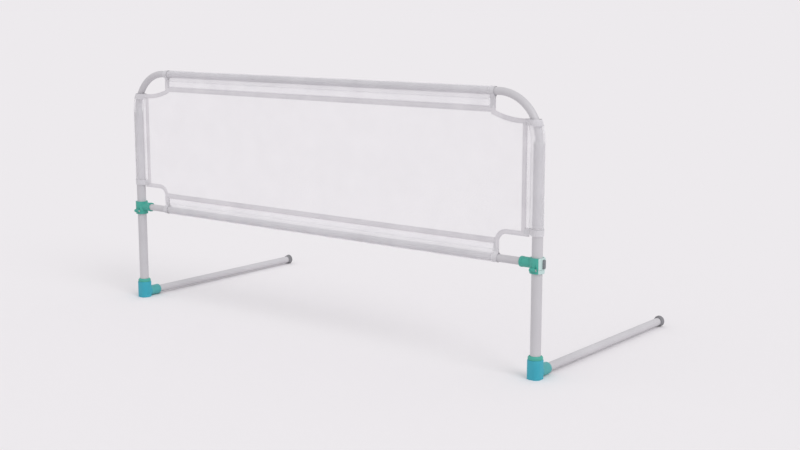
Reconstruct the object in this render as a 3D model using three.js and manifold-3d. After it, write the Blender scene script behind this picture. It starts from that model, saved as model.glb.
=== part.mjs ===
import * as THREE from 'three';
import { mergeVertices } from 'three/addons/utils/BufferGeometryUtils.js';
import Module from 'manifold-3d';

const wasm = await Module();
wasm.setup();

// Main sizes of the guard in millimetres: X along the guard, Y towards the bed, Z up from the floor.
const uprightSpacing = 1178;
const topRailHeight = 570;
const bottomRailHeight = 235;
const bendRadius = 95;
const uprightDiameter = 22;
const railDiameter = 16;
const armDiameter = 18;
const tubeWall = 1.2;
const armReach = 540;

// Clearances shared by all fits.
const pressGap = 0.15;
const runGap = 0.3;
const cutOver = 1;

// Hinge between the lower stand and the guard. Heights are below the bottom rail's axis.
const housingDiameter = 30;
const housingTop = 12;
const hingeDrop = 11;
const hingeForward = 16;
const knuckleRadius = 4;
const middleKnuckle = 5;
const hingeWidth = 13;
const hingePinRadius = 1.5;
const hingePinHeadRadius = 2.6;
const hingePinHead = 1;
const flangeThickness = 8;
const spigotLength = 28;
const spigotWall = 2.5;
const housingFloor = 9;
const railSocketReach = 37;
const railSocketRadius = 10.5;
const railSocketLip = 5;
const railSocketLipRise = 0.5;
const railSocketWall = 2.5;
const hingeWebInset = 5;

// Release button on the outer side of each upper housing, held in by a housing of its own.
const buttonHousingFrom = 9.8;
const buttonWidth = 9;
const buttonHeight = 18;
const buttonCorner = 2.5;
const buttonEdge = 0.8;
const buttonThickness = 3.5;
const buttonTravel = 2;
const buttonPocketWall = 1;
const buttonBossWidth = 14;
const buttonBossRise = 0.4;
const buttonStemRadius = 2.5;
const buttonStemDrop = 6.4;
const buttonCollarRadius = 3.1;
const buttonCollarLength = 1;
const buttonRim = 1;
const springLength = 5.6;
const springRadius = 2.1;
const springWire = 0.4;

// Foot bracket, the collar above it and the screw that holds it on.
const footWidth = 30;
const footHeight = 40;
const footCorner = 11;
const footEdge = 1.5;
const footFloor = 7;
const footCounterbore = 3.5;
const collarDiameter = 31;
const collarHeight = 7.5;
const collarEdge = 3;
const nozzleReach = 45;
const nozzleBack = 6;
const armStart = 16;
const plugLength = 20;
const screwRadius = 2.5;
const screwLength = 20;
const screwHeadRadius = 5;
const screwHeadHeight = 2.4;
const screwHeadSpace = 1;

// Rubber cap on the end of each arm. The arm lies as high as the cap's radius, so the cap touches the floor.
const capDiameter = 25;
const capSkirtRadius = 10.6;
const capSkirtLength = 9;
const capFlare = 1.5;
const capRim = 3;
const capEnd = 3.7;
const capDome = 1.8;
const capDomeEdge = 0.6;

// Top rail legs and the bushes that fit them into the wider uprights.
const uprightTopBelowBend = 3;
const railLegInside = 46;
const bushLength = 40;
const bushFlange = 2.5;

// Cloth cover. "In" sizes run from an upright's axis towards the middle of the guard.
const clothThickness = 1.2;
const railSleeveEase = 1.2;
const uprightSleeveEase = 0.5;
const sleeveClosing = 6;
const flapThickness = 1.8;
const bindingThickness = 2.8;
const seamGap = 0.3;
const topSleeveIn = 103;
const bottomSleeveIn = 91;
const topBindingNear = 30;
const topBindingFar = 42;
const bottomBindingNear = 29;
const bottomBindingFar = 41;
const sideBindingNear = 28;
const sideBindingFar = 38;
const sideSleeveBottom = 55;
const sideSleeveTop = 51;
const tapeWidth = 10;
const tapeStart = 19;
const upperTapeInset = 1.2;
const upperTapeDrop = 40;
const upperTapeBend = 52.5;
const upperTapeBendIn = 70;
const lowerTapeRise = 51;
const lowerTapeCorner = 18;
const lowerTapeStartIn = 20;

// Net: a flat sheet with a regular grid of gaps; its border is held inside the tapes.
const netThickness = 1;
const netTuck = 8;
const netStrand = 2.6;
const netMargin = 3;
const netColumns = 22;
const netRows = 6;

// How finely round shapes are drawn.
const roundSides = 24;
const smallSides = 14;
const railSides = 20;
const bendSteps = 9;
const arcPieces = 8;
const sleeveSteps = 4;
const springTurns = 4;
const springSteps = 28;
const wirePieces = 3;
const bevelSteps = 2;
const cornerPieces = 4;

// Values that follow from the sizes above.
const halfSpacing = uprightSpacing / 2;
const uprightRadius = uprightDiameter / 2;
const railRadius = railDiameter / 2;
const armRadius = armDiameter / 2;
const housingRadius = housingDiameter / 2;
const hingeHeight = bottomRailHeight - hingeDrop;
const bendStart = topRailHeight - bendRadius;
const uprightTop = bendStart - uprightTopBelowBend;
const housingBottom = hingeHeight + pressGap;
const housingBoreFloor = housingBottom + housingFloor;
const flangeTop = hingeHeight - pressGap;
const flangeBottom = flangeTop - flangeThickness;
const armHeight = capDiameter / 2;
const pocketFloor = uprightRadius + pressGap + buttonPocketWall;
const buttonInner = pocketFloor + buttonTravel + pressGap;
const frontReach = hingeForward + knuckleRadius;
const guardPlane = (frontReach - armReach) / 2;
const hingeAxis = { y: -hingeForward, z: hingeHeight };
const railSleeveRadius = railRadius + railSleeveEase;
const uprightSleeveRadius = uprightRadius + uprightSleeveEase;
const upperTapeEndRadius = bendRadius - sleeveReach(uprightSleeveRadius) - upperTapeInset;

const looks = {
  tube: { color: 0xc4c5c7, roughness: 0.35, metalness: 0.2 },
  hinge: { color: 0x4da597, roughness: 0.45, metalness: 0 },
  foot: { color: 0x3aa4ba, roughness: 0.45, metalness: 0 },
  dark: { color: 0x77797c, roughness: 0.6, metalness: 0 },
  pale: { color: 0xd9dadb, roughness: 0.6, metalness: 0 },
  steel: { color: 0xb5b8bb, roughness: 0.3, metalness: 1 },
  sleeve: { color: 0xdcdadd, roughness: 0.9, metalness: 0 },
  binding: { color: 0xcfcdd1, roughness: 0.85, metalness: 0 },
  net: { color: 0xf0eff1, roughness: 0.9, metalness: 0 },
};

// A closed solid, ready to be joined and cut, from any closed geometry.
function solid(geometry) {
  const bare = geometry.index ? geometry.toNonIndexed() : geometry.clone();
  bare.deleteAttribute('normal');
  bare.deleteAttribute('uv');
  const merged = mergeVertices(bare);
  const corners = merged.index.array;
  const faces = [];
  for (let i = 0; i < corners.length; i += 3) {
    const [a, b, c] = [corners[i], corners[i + 1], corners[i + 2]];
    if (a !== b && b !== c && c !== a) faces.push(a, b, c);
  }
  const vertProperties = new Float32Array(merged.attributes.position.array);
  return new wasm.Manifold(new wasm.Mesh({ numProp: 3, vertProperties, triVerts: new Uint32Array(faces) }));
}

// A named piece. A side of 1 or -1 moves it from the upright's axis to the right or left end.
function piece(name, body, look, side = 0) {
  const drawn = body.getMesh();
  const corners = Array.from(drawn.triVerts);
  const geometry = new THREE.BufferGeometry();
  const points = new THREE.Float32BufferAttribute(Array.from(drawn.vertProperties), drawn.numProp);
  geometry.setAttribute('position', points);
  if (side < 0) {
    for (let i = 0; i < corners.length; i += 3) {
      [corners[i], corners[i + 1]] = [corners[i + 1], corners[i]];
    }
    geometry.scale(side, 1, 1);
  }
  geometry.setIndex(corners);
  geometry.translate(side * halfSpacing, guardPlane, 0);
  geometry.computeVertexNormals();
  const mesh = new THREE.Mesh(geometry, new THREE.MeshStandardMaterial(look));
  mesh.name = name;
  return mesh;
}

// Turns a geometry drawn along Y so that it runs along the axis asked for.
function along(axis, geometry) {
  if (axis === 'x') geometry.rotateZ(-Math.PI / 2);
  if (axis === 'z') geometry.rotateX(Math.PI / 2);
  return geometry;
}

// A round bar from one end to the other. The point "at" gives where its axis passes.
function bar(axis, radius, from, to, at = {}, sides = roundSides) {
  const geometry = along(axis, new THREE.CylinderGeometry(radius, radius, to - from, sides));
  const centre = { x: 0, y: 0, z: 0, ...at, [axis]: (from + to) / 2 };
  geometry.translate(centre.x, centre.y, centre.z);
  return solid(geometry);
}

// A straight tube with a given wall.
function tube(axis, radius, wall, from, to, at = {}, sides = roundSides) {
  const bore = bar(axis, radius - wall, from - cutOver, to + cutOver, at, sides);
  return bar(axis, radius, from, to, at, sides).subtract(bore);
}

// A square-edged block between two limits on each axis.
function block(x, y, z) {
  const geometry = new THREE.BoxGeometry(x[1] - x[0], y[1] - y[0], z[1] - z[0]);
  geometry.translate((x[0] + x[1]) / 2, (y[0] + y[1]) / 2, (z[0] + z[1]) / 2);
  return solid(geometry);
}

// A body turned about an axis from a profile of [radius, distance along the axis].
function turned(axis, profile, at = {}, sides = roundSides) {
  const points = profile.map(([radius, height]) => new THREE.Vector2(radius, height));
  const geometry = new THREE.LatheGeometry(points, sides);
  along(axis, geometry);
  const centre = { x: 0, y: 0, z: 0, ...at };
  geometry.translate(centre.x, centre.y, centre.z);
  return solid(geometry);
}

// A rectangle with rounded corners about the origin.
function roundedRectangle(width, height, corner) {
  const x = width / 2 - corner;
  const y = height / 2 - corner;
  const shape = new THREE.Shape();
  shape.absarc(x, -y, corner, -Math.PI / 2, 0);
  shape.absarc(x, y, corner, 0, Math.PI / 2);
  shape.absarc(-x, y, corner, Math.PI / 2, Math.PI);
  shape.absarc(-x, -y, corner, Math.PI, Math.PI * 3 / 2);
  shape.closePath();
  return shape;
}

// A flat sheet standing in the guard's plane, cut to a shape drawn in X and Z.
function sheet(shape, thickness) {
  const options = { depth: thickness, bevelEnabled: false, curveSegments: arcPieces };
  const geometry = new THREE.ExtrudeGeometry(shape, options);
  geometry.translate(0, 0, -thickness / 2);
  geometry.rotateX(Math.PI / 2);
  return solid(geometry);
}

// A run through given stations, each with a point and a direction.
class Run extends THREE.Curve {
  constructor(stations) {
    super();
    this.stations = stations;
  }

  getPoint(t) {
    const place = Math.min(Math.max(t, 0), 1) * (this.stations.length - 1);
    const before = this.stations[Math.floor(place)];
    const after = this.stations[Math.ceil(place)];
    return before.point.clone().lerp(after.point, place - Math.floor(place));
  }

  getTangent(t) {
    return this.stations[Math.round(t * (this.stations.length - 1))].direction.clone();
  }

  getUtoTmapping(u) {
    return u;
  }
}

// A section carried along a run of stations.
function swept(section, stations, segments = arcPieces) {
  const options = {
    extrudePath: new Run(stations),
    steps: stations.length - 1,
    curveSegments: segments,
    bevelEnabled: false,
  };
  return solid(new THREE.ExtrudeGeometry(section, options));
}

function station(x, z, directionX, directionZ) {
  return {
    point: new THREE.Vector3(x, 0, z),
    direction: new THREE.Vector3(directionX, 0, directionZ),
  };
}

// Stations on the right-hand corner bend, turned up from the upright by an angle.
function bendStations(centreX, upTo, steps) {
  const stations = [];
  for (let i = 0; i <= steps; i += 1) {
    const angle = upTo * i / steps;
    const x = centreX + bendRadius * Math.cos(angle);
    const z = bendStart + bendRadius * Math.sin(angle);
    stations.push(station(x, z, -Math.sin(angle), Math.cos(angle)));
  }
  return stations;
}

function ringSection(radius, wall) {
  const shape = new THREE.Shape();
  shape.absarc(0, 0, radius, 0, Math.PI * 2);
  const hole = new THREE.Path();
  hole.absarc(0, 0, radius - wall, 0, Math.PI * 2);
  shape.holes.push(hole);
  return shape;
}

// One tube makes the whole top: a leg, a bend, the long rail, a bend and the other leg.
function topRail() {
  const legEnd = uprightTop - railLegInside;
  const right = bendStations(halfSpacing - bendRadius, Math.PI / 2, bendSteps);
  const left = right.map(({ point, direction }) => station(-point.x, point.z, direction.x, -direction.z));
  const stations = [
    station(halfSpacing, legEnd, 0, 1),
    ...right,
    ...left.reverse(),
    station(-halfSpacing, legEnd, 0, -1),
  ];
  return swept(ringSection(railRadius, tubeWall), stations, railSides / 2);
}

// The bush fills the upright's bore round the rail's leg and its flange sits on the upright's end.
function elbowBush() {
  const bore = railRadius + pressGap;
  const boreRadius = uprightRadius - tubeWall - pressGap;
  const body = bar('z', boreRadius, uprightTop - bushLength, uprightTop + pressGap);
  const flange = bar('z', uprightRadius, uprightTop + pressGap, uprightTop + pressGap + bushFlange);
  const hole = bar('z', bore, uprightTop - bushLength - cutOver, uprightTop + bushFlange + cutOver);
  return body.add(flange).subtract(hole);
}

function upperUpright() {
  return tube('z', uprightRadius, tubeWall, housingBoreFloor + pressGap, uprightTop);
}

function bottomRail() {
  const end = halfSpacing - uprightRadius - railSocketWall - runGap;
  return tube('x', railRadius, tubeWall, -end, end, { z: bottomRailHeight }, railSides);
}

// Room for the other half's knuckles, cut out of one half of the hinge.
function knuckleRoom(from, to) {
  return bar('x', knuckleRadius + runGap, from, to, hingeAxis);
}

// The upper housing before its outer side is parted off: a sleeve for the upright, a socket for the
// rail, the middle knuckle of the hinge and a boss with the button's pocket.
function wholeHousing() {
  const top = bottomRailHeight + housingTop;
  const halfKnuckle = middleKnuckle / 2;
  const outerFace = housingRadius + buttonBossRise;
  const halfBoss = buttonBossWidth / 2;
  const knuckle = bar('x', knuckleRadius, -halfKnuckle, halfKnuckle, hingeAxis);
  const webTop = hingeHeight + knuckleRadius;
  const web = block([-halfKnuckle, halfKnuckle], [-hingeForward, 0], [housingBottom, webTop]);
  const sleeve = bar('z', housingRadius, housingBottom, top);
  const boss = block([0, outerFace], [-halfBoss, halfBoss], [housingBottom, top]);
  const below = block([-railSocketReach - cutOver, 0], [-housingRadius, housingRadius], [0, housingBottom]);
  let body = sleeve.add(web).add(boss).add(railSocket()).subtract(below).add(knuckle);
  body = body.subtract(bar('z', uprightRadius + pressGap, housingBoreFloor, top + cutOver));
  body = body.subtract(railBore());
  const halfRoom = hingeWidth / 2 + runGap;
  body = body.subtract(knuckleRoom(halfKnuckle, halfRoom));
  body = body.subtract(knuckleRoom(-halfRoom, -halfKnuckle));
  body = body.subtract(hingePinBore());
  return body.subtract(buttonPocket(outerFace));
}

// Socket for the bottom rail, with a thicker lip at its mouth.
function railSocket() {
  const axis = { z: bottomRailHeight };
  const lipEnd = railSocketLip - railSocketReach;
  const lip = bar('x', railSocketRadius + railSocketLipRise, -railSocketReach, lipEnd, axis);
  return bar('x', railSocketRadius, lipEnd, 0, axis).add(lip);
}

function railBore() {
  const end = -uprightRadius - railSocketWall;
  return bar('x', railRadius + pressGap, -railSocketReach - cutOver, end, { z: bottomRailHeight });
}

function hingePinBore() {
  return bar('x', hingePinRadius + pressGap, -hingeWidth, hingeWidth, hingeAxis, smallSides);
}

// Room for the button: a pocket for its plate, a hole for its stem and a chamber for its spring.
function buttonPocket(outerFace) {
  const halfPocket = buttonWidth / 2 + runGap;
  const pocketHeight = buttonHeight / 2 + runGap;
  const pocketZ = [bottomRailHeight - pocketHeight, bottomRailHeight + pocketHeight];
  const pocket = block([pocketFloor, outerFace + cutOver], [-halfPocket, halfPocket], pocketZ);
  const stemAxis = { z: bottomRailHeight - buttonStemDrop };
  const rimInner = pocketFloor - buttonRim;
  const chamberEnd = rimInner - pressGap - buttonCollarLength - springLength - pressGap;
  const stemRadius = buttonStemRadius + pressGap;
  const stemHole = bar('x', stemRadius, chamberEnd, pocketFloor + cutOver, stemAxis, smallSides);
  const chamber = bar('x', buttonCollarRadius + runGap, chamberEnd, rimInner, stemAxis, smallSides);
  return pocket.add(stemHole).add(chamber);
}

// Everything on the outer side of a plane across the housing.
function outerSide(from) {
  const wide = [-housingDiameter, housingDiameter];
  return block([from, from + housingDiameter], wide, [0, topRailHeight]);
}

// Upper hinge half: the housing without the part that holds the button.
function hingeUpper() {
  return wholeHousing().subtract(outerSide(buttonHousingFrom));
}

// The outer part of the housing is moulded on its own, so the button can be put in from behind.
function buttonHousing() {
  return wholeHousing().intersect(outerSide(buttonHousingFrom + pressGap));
}

// Lower hinge half: a flange on the lower upright, a hollow spigot inside it and two knuckles.
function hingeLower() {
  const spigotRadius = uprightRadius - tubeWall - runGap;
  const halfWidth = hingeWidth / 2;
  const innerEnd = middleKnuckle / 2 + runGap;
  const spigot = tube('z', spigotRadius, spigotWall, flangeBottom - spigotLength, flangeBottom);
  let body = bar('z', housingRadius, flangeBottom, flangeTop).add(spigot);
  for (const [from, to] of [[innerEnd, halfWidth], [-halfWidth, -innerEnd]]) {
    const web = block([from, to], [-hingeForward, -hingeWebInset], [hingeHeight - knuckleRadius, flangeTop]);
    body = body.add(web).add(bar('x', knuckleRadius, from, to, hingeAxis));
  }
  return body.subtract(knuckleRoom(-innerEnd, innerEnd)).subtract(hingePinBore());
}

function hingePin() {
  const halfWidth = hingeWidth / 2 + pressGap;
  const shank = bar('x', hingePinRadius, -halfWidth, halfWidth, hingeAxis, smallSides);
  const end = halfWidth + hingePinHead;
  const head = (from, to) => bar('x', hingePinHeadRadius, from, to, hingeAxis, smallSides);
  return shank.add(head(halfWidth, end)).add(head(-end, -halfWidth));
}

// The button is a soft-edged plate on a stem; a collar keeps the stem behind the pocket's rim.
function releaseButton() {
  const stemAxis = { z: bottomRailHeight - buttonStemDrop };
  const options = {
    depth: buttonThickness - buttonEdge,
    bevelThickness: buttonEdge,
    bevelSize: buttonEdge,
    bevelOffset: -buttonEdge,
    bevelSegments: bevelSteps,
    curveSegments: cornerPieces,
  };
  const shape = roundedRectangle(buttonHeight, buttonWidth, buttonCorner);
  const geometry = new THREE.ExtrudeGeometry(shape, options);
  geometry.rotateY(Math.PI / 2);
  geometry.translate(buttonInner, 0, bottomRailHeight);
  const inside = block(
    [buttonInner - buttonThickness, buttonInner],
    [-buttonWidth, buttonWidth],
    [bottomRailHeight - buttonHeight, bottomRailHeight + buttonHeight],
  );
  const plate = solid(geometry).subtract(inside);
  const collarOuter = pocketFloor - buttonRim - pressGap;
  const collarInner = collarOuter - buttonCollarLength;
  const stem = bar('x', buttonStemRadius, collarInner, buttonInner + buttonEdge, stemAxis, smallSides);
  const collar = bar('x', buttonCollarRadius, collarInner, collarOuter, stemAxis, smallSides);
  return plate.add(stem).add(collar);
}

class Helix extends THREE.Curve {
  constructor(from, to, radius, turns, z) {
    super();
    Object.assign(this, { from, to, radius, turns, z });
  }

  getPoint(t) {
    const angle = t * this.turns * Math.PI * 2;
    const x = this.from + (this.to - this.from) * t;
    return new THREE.Vector3(x, this.radius * Math.cos(angle), this.z + this.radius * Math.sin(angle));
  }
}

function buttonSpring() {
  const outer = pocketFloor - buttonRim - pressGap - buttonCollarLength - pressGap - springWire;
  const inner = outer + springWire - springLength + pressGap + springWire;
  const wire = new THREE.Shape();
  wire.absarc(0, 0, springWire, 0, Math.PI * 2);
  const height = bottomRailHeight - buttonStemDrop;
  const options = {
    extrudePath: new Helix(inner, outer, springRadius, springTurns, height),
    steps: springSteps,
    curveSegments: wirePieces,
    bevelEnabled: false,
  };
  return solid(new THREE.ExtrudeGeometry(wire, options));
}

function lowerUpright() {
  return tube('z', uprightRadius, tubeWall, footFloor + runGap, flangeBottom - pressGap);
}

function footCollar() {
  const bottom = footHeight + runGap;
  const top = bottom + collarHeight;
  const outer = collarDiameter / 2;
  const bore = bar('z', uprightRadius + pressGap, bottom - cutOver, top + cutOver);
  const body = turned('z', [
    [0, bottom],
    [outer, bottom],
    [outer, top - collarEdge],
    [outer - collarEdge, top],
    [0, top],
  ]);
  return body.subtract(bore);
}

function footPlug() {
  const bottom = footFloor + runGap;
  const radius = uprightRadius - tubeWall - pressGap;
  const top = bottom + plugLength;
  const hole = bar('z', screwRadius + pressGap, bottom - cutOver, top + cutOver, {}, smallSides);
  return bar('z', radius, bottom, top).subtract(hole);
}

function footScrew() {
  const headTop = footCounterbore - pressGap;
  const head = bar('z', screwHeadRadius, headTop - screwHeadHeight, headTop);
  return head.add(bar('z', screwRadius, headTop, footCounterbore + screwLength, {}, smallSides));
}

// Foot bracket: a rounded block round the upright with a round nozzle that holds the arm.
function footBracket() {
  const options = {
    depth: footHeight - footEdge,
    bevelThickness: footEdge,
    bevelSize: footEdge,
    bevelOffset: -footEdge,
    bevelSegments: bevelSteps,
    curveSegments: cornerPieces,
  };
  const geometry = new THREE.ExtrudeGeometry(roundedRectangle(footWidth, footWidth, footCorner), options);
  const under = block([-footWidth, footWidth], [-footWidth, footWidth], [-footWidth, 0]);
  const armAxis = { z: armHeight };
  const nozzle = turned('y', [
    [0, nozzleBack],
    [armHeight, nozzleBack],
    [armHeight, nozzleReach - footEdge],
    [armHeight - footEdge, nozzleReach],
    [0, nozzleReach],
  ], armAxis);
  let body = solid(geometry).subtract(under).add(nozzle);
  body = body.subtract(bar('z', uprightRadius + runGap, footFloor, footHeight + cutOver));
  body = body.subtract(bar('y', armRadius + pressGap, armStart, nozzleReach + cutOver, armAxis));
  body = body.subtract(bar('z', screwRadius + runGap, -cutOver, footFloor + cutOver, {}, smallSides));
  return body.subtract(bar('z', screwHeadRadius + screwHeadSpace, -cutOver, footCounterbore));
}

function supportArm() {
  const end = armReach - capEnd;
  return tube('y', armRadius, tubeWall, armStart + pressGap, end, { z: armHeight });
}

// Arm cap: a skirt over the tube that flares to a thick rim with a slightly domed end.
function armCap() {
  const inside = armReach - capEnd + pressGap;
  const skirtStart = inside - capSkirtLength;
  const rimEnd = armReach - capDome;
  const rimStart = rimEnd - capRim;
  const rim = capDiameter / 2;
  const bore = armRadius + pressGap;
  return turned('y', [
    [0, inside],
    [bore, inside],
    [bore, skirtStart],
    [capSkirtRadius, skirtStart],
    [capSkirtRadius, rimStart - capFlare],
    [rim, rimStart],
    [rim, rimEnd],
    [rim - capDome, armReach - capDomeEdge],
    [rim / 2, armReach],
    [0, armReach],
  ], { z: armHeight });
}

// Cloth folded round a tube: a round back that closes to a point on the flap's side.
function sleeveSection(innerRadius) {
  const outerRadius = innerRadius + clothThickness;
  const reach = outerRadius + sleeveClosing;
  const innerReach = reach - clothThickness * 2;
  const outerTurn = Math.acos(outerRadius / reach);
  const innerTurn = Math.acos(innerRadius / innerReach);
  const half = flapThickness / 2;
  const shape = new THREE.Shape();
  shape.moveTo(half, reach);
  shape.lineTo(outerRadius * Math.sin(outerTurn), outerRadius * Math.cos(outerTurn));
  shape.absarc(0, 0, outerRadius, Math.PI / 2 - outerTurn, outerTurn - Math.PI * 3 / 2, true);
  shape.lineTo(-half, reach);
  shape.closePath();
  const hole = new THREE.Path();
  hole.moveTo(0, innerReach);
  hole.lineTo(-innerRadius * Math.sin(innerTurn), innerRadius * Math.cos(innerTurn));
  hole.absarc(0, 0, innerRadius, Math.PI / 2 + innerTurn, Math.PI * 5 / 2 - innerTurn);
  hole.closePath();
  shape.holes.push(hole);
  return shape;
}

// How far the closed part of a sleeve reaches from its tube's axis.
function sleeveReach(innerRadius) {
  return innerRadius + clothThickness + sleeveClosing;
}

// A straight sleeve along X. "Towards" is 1 when its flap points up and -1 when it points down.
function railSleeve(half, height, towards) {
  const options = { depth: half * 2, bevelEnabled: false, curveSegments: arcPieces };
  const geometry = new THREE.ExtrudeGeometry(sleeveSection(railSleeveRadius), options);
  geometry.translate(0, 0, -half);
  geometry.rotateX(Math.PI / 2);
  geometry.rotateZ(Math.PI / 2);
  if (towards < 0) geometry.rotateX(Math.PI);
  geometry.translate(0, 0, height);
  return solid(geometry);
}

// A flat strip of cloth between two X limits and two heights.
function strip(x, z, thickness) {
  return block(x, [-thickness / 2, thickness / 2], z);
}

function topSleeve() {
  const half = halfSpacing - topSleeveIn;
  const flapHalf = half - tapeWidth - seamGap;
  const flapFrom = topRailHeight - topBindingNear + seamGap;
  const flapTo = topRailHeight - sleeveReach(railSleeveRadius) + clothThickness;
  const flap = strip([-flapHalf, flapHalf], [flapFrom, flapTo], flapThickness);
  return railSleeve(half, topRailHeight, -1).add(flap);
}

function bottomSleeve() {
  const half = halfSpacing - bottomSleeveIn;
  const flapHalf = half - tapeWidth - seamGap;
  const flapFrom = bottomRailHeight + sleeveReach(railSleeveRadius) - clothThickness;
  const flapTo = bottomRailHeight + bottomBindingNear - seamGap;
  const flap = strip([-flapHalf, flapHalf], [flapFrom, flapTo], flapThickness);
  return railSleeve(half, bottomRailHeight, 1).add(flap);
}

// The side sleeve follows the upright and the start of the bend, and is cut level at its top.
function sideSleeve() {
  const bottom = bottomRailHeight + sideSleeveBottom;
  const top = topRailHeight - sideSleeveTop;
  const flapBottom = bottomRailHeight + lowerTapeRise + tapeWidth + seamGap;
  const flapTop = top - tapeWidth - seamGap;
  const reach = sleeveReach(uprightSleeveRadius);
  const turn = Math.asin((top - bendStart + cutOver) / (bendRadius - reach));
  const bend = bendStations(-bendRadius, turn, sleeveSteps);
  const stations = [station(0, bottom, 0, 1), ...bend];
  const section = turnedSection(sleeveSection(uprightSleeveRadius));
  const above = block([-bendRadius, bendRadius], [-bendRadius, bendRadius], [top, top + bendRadius]);
  const flap = new THREE.Shape();
  flap.moveTo(seamGap - sideBindingNear, flapBottom);
  flap.lineTo(clothThickness - reach, flapBottom);
  const flapTurn = Math.asin((flapTop - bendStart) / (bendRadius - reach + clothThickness));
  flap.absarc(-bendRadius, bendStart, bendRadius - reach + clothThickness, 0, flapTurn);
  flap.lineTo(seamGap - sideBindingNear, flapTop);
  flap.closePath();
  return swept(section, stations).subtract(above).add(sheet(flap, flapThickness));
}

// Turns a section half round, so that a sleeve's flap faces the middle of the guard.
function turnedSection(section) {
  const turn = (point) => new THREE.Vector2(-point.x, -point.y);
  const { shape, holes } = section.extractPoints(arcPieces);
  const turned = new THREE.Shape(shape.map(turn));
  turned.holes = holes.map((hole) => new THREE.Path(hole.map(turn)));
  return turned;
}

// The outline of the net in X and Z, grown by a clearance when it is used to cut the tapes' slots.
function netOutline(grow) {
  const top = topRailHeight - topBindingFar + netTuck + grow;
  const bottom = bottomRailHeight + bottomBindingFar - netTuck - grow;
  const side = halfSpacing - sideBindingFar + netTuck + grow;
  const tuck = tapeWidth - netTuck - grow;
  const stepX = halfSpacing - topSleeveIn - tuck;
  const stepZ = topRailHeight - upperTapeDrop - tuck;
  const bendX = halfSpacing - upperTapeBendIn;
  const bendZ = topRailHeight - upperTapeBend - tuck;
  const endX = halfSpacing + upperTapeEnd(sideSleeveTop + tuck).x - tuck;
  const endZ = topRailHeight - sideSleeveTop - tuck;
  const sideTop = topRailHeight - sideSleeveTop - tapeWidth;
  const corner = lowerTapeCorner + tuck;
  const cornerX = halfSpacing - bottomSleeveIn + lowerTapeCorner;
  const cornerZ = bottomRailHeight + lowerTapeRise - lowerTapeCorner;
  const outline = new THREE.Shape();
  outline.moveTo(-stepX, top);
  outline.lineTo(-stepX, stepZ);
  outline.quadraticCurveTo(-bendX, bendZ, -endX, endZ);
  outline.lineTo(-side, sideTop);
  outline.lineTo(-side, cornerZ + corner);
  outline.absarc(-cornerX, cornerZ, corner, Math.PI / 2, 0, true);
  outline.lineTo(corner - cornerX, bottom);
  outline.lineTo(cornerX - corner, bottom);
  outline.absarc(cornerX, cornerZ, corner, Math.PI, Math.PI / 2, true);
  outline.lineTo(side, cornerZ + corner);
  outline.lineTo(side, sideTop);
  outline.lineTo(endX, endZ);
  outline.quadraticCurveTo(bendX, bendZ, stepX, stepZ);
  outline.lineTo(stepX, top);
  outline.closePath();
  return outline;
}

// The slot that a tape keeps open for the net's border.
function netSlot() {
  return sheet(netOutline(seamGap), netThickness + seamGap * 2);
}

// The net's gaps stop short of the corner tapes.
function netPanel() {
  let net = sheet(netOutline(0), netThickness);
  const halfWidth = halfSpacing - sideBindingFar - netMargin;
  const low = bottomRailHeight + bottomBindingFar + netMargin;
  const high = topRailHeight - topBindingFar - netMargin;
  const cornerLow = bottomRailHeight + lowerTapeRise + tapeWidth + netMargin;
  const cornerHigh = topRailHeight - sideSleeveTop - tapeWidth - netMargin;
  const pitchX = halfWidth * 2 / netColumns;
  const pitchZ = (high - low) / netRows;
  for (let column = 0; column < netColumns; column += 1) {
    const left = -halfWidth + column * pitchX + netStrand / 2;
    const right = left + pitchX - netStrand;
    const outer = Math.max(Math.abs(left), Math.abs(right));
    const lowest = outer > halfSpacing - bottomSleeveIn - tapeWidth - netMargin ? cornerLow : low;
    const highest = outer > halfSpacing - topSleeveIn - tapeWidth - netMargin ? cornerHigh : high;
    for (let row = 0; row < netRows; row += 1) {
      const from = Math.max(lowest, low + row * pitchZ + netStrand / 2);
      const to = Math.min(highest, low + (row + 1) * pitchZ - netStrand / 2);
      if (to - from < netStrand) continue;
      net = net.subtract(strip([left, right], [from, to], netThickness * 2));
    }
  }
  return net;
}

function topBinding() {
  const half = halfSpacing - topSleeveIn - tapeWidth - seamGap;
  const z = [topRailHeight - topBindingFar, topRailHeight - topBindingNear];
  return strip([-half, half], z, bindingThickness).subtract(netSlot());
}

function bottomBinding() {
  const half = halfSpacing - bottomSleeveIn - tapeWidth - seamGap;
  const z = [bottomRailHeight + bottomBindingNear, bottomRailHeight + bottomBindingFar];
  return strip([-half, half], z, bindingThickness).subtract(netSlot());
}

// The pieces below are drawn about the upright's axis, so the net's slot is moved to match.
function endSlot() {
  const drawn = netOutline(seamGap).getPoints(arcPieces).map((point) => {
    return new THREE.Vector2(point.x - halfSpacing, point.y);
  });
  return sheet(new THREE.Shape(drawn), netThickness + seamGap * 2);
}

function sideBinding() {
  const bottom = bottomRailHeight + lowerTapeRise + tapeWidth + seamGap;
  const top = topRailHeight - sideSleeveTop - tapeWidth - seamGap;
  return strip([-sideBindingFar, -sideBindingNear], [bottom, top], bindingThickness).subtract(endSlot());
}

// Where the upper corner tape ends beside the side sleeve, at a drop below the top rail's axis.
function upperTapeEnd(drop) {
  const turn = Math.asin((bendRadius - drop) / upperTapeEndRadius);
  return { turn, x: upperTapeEndRadius * Math.cos(turn) - bendRadius };
}

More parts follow.
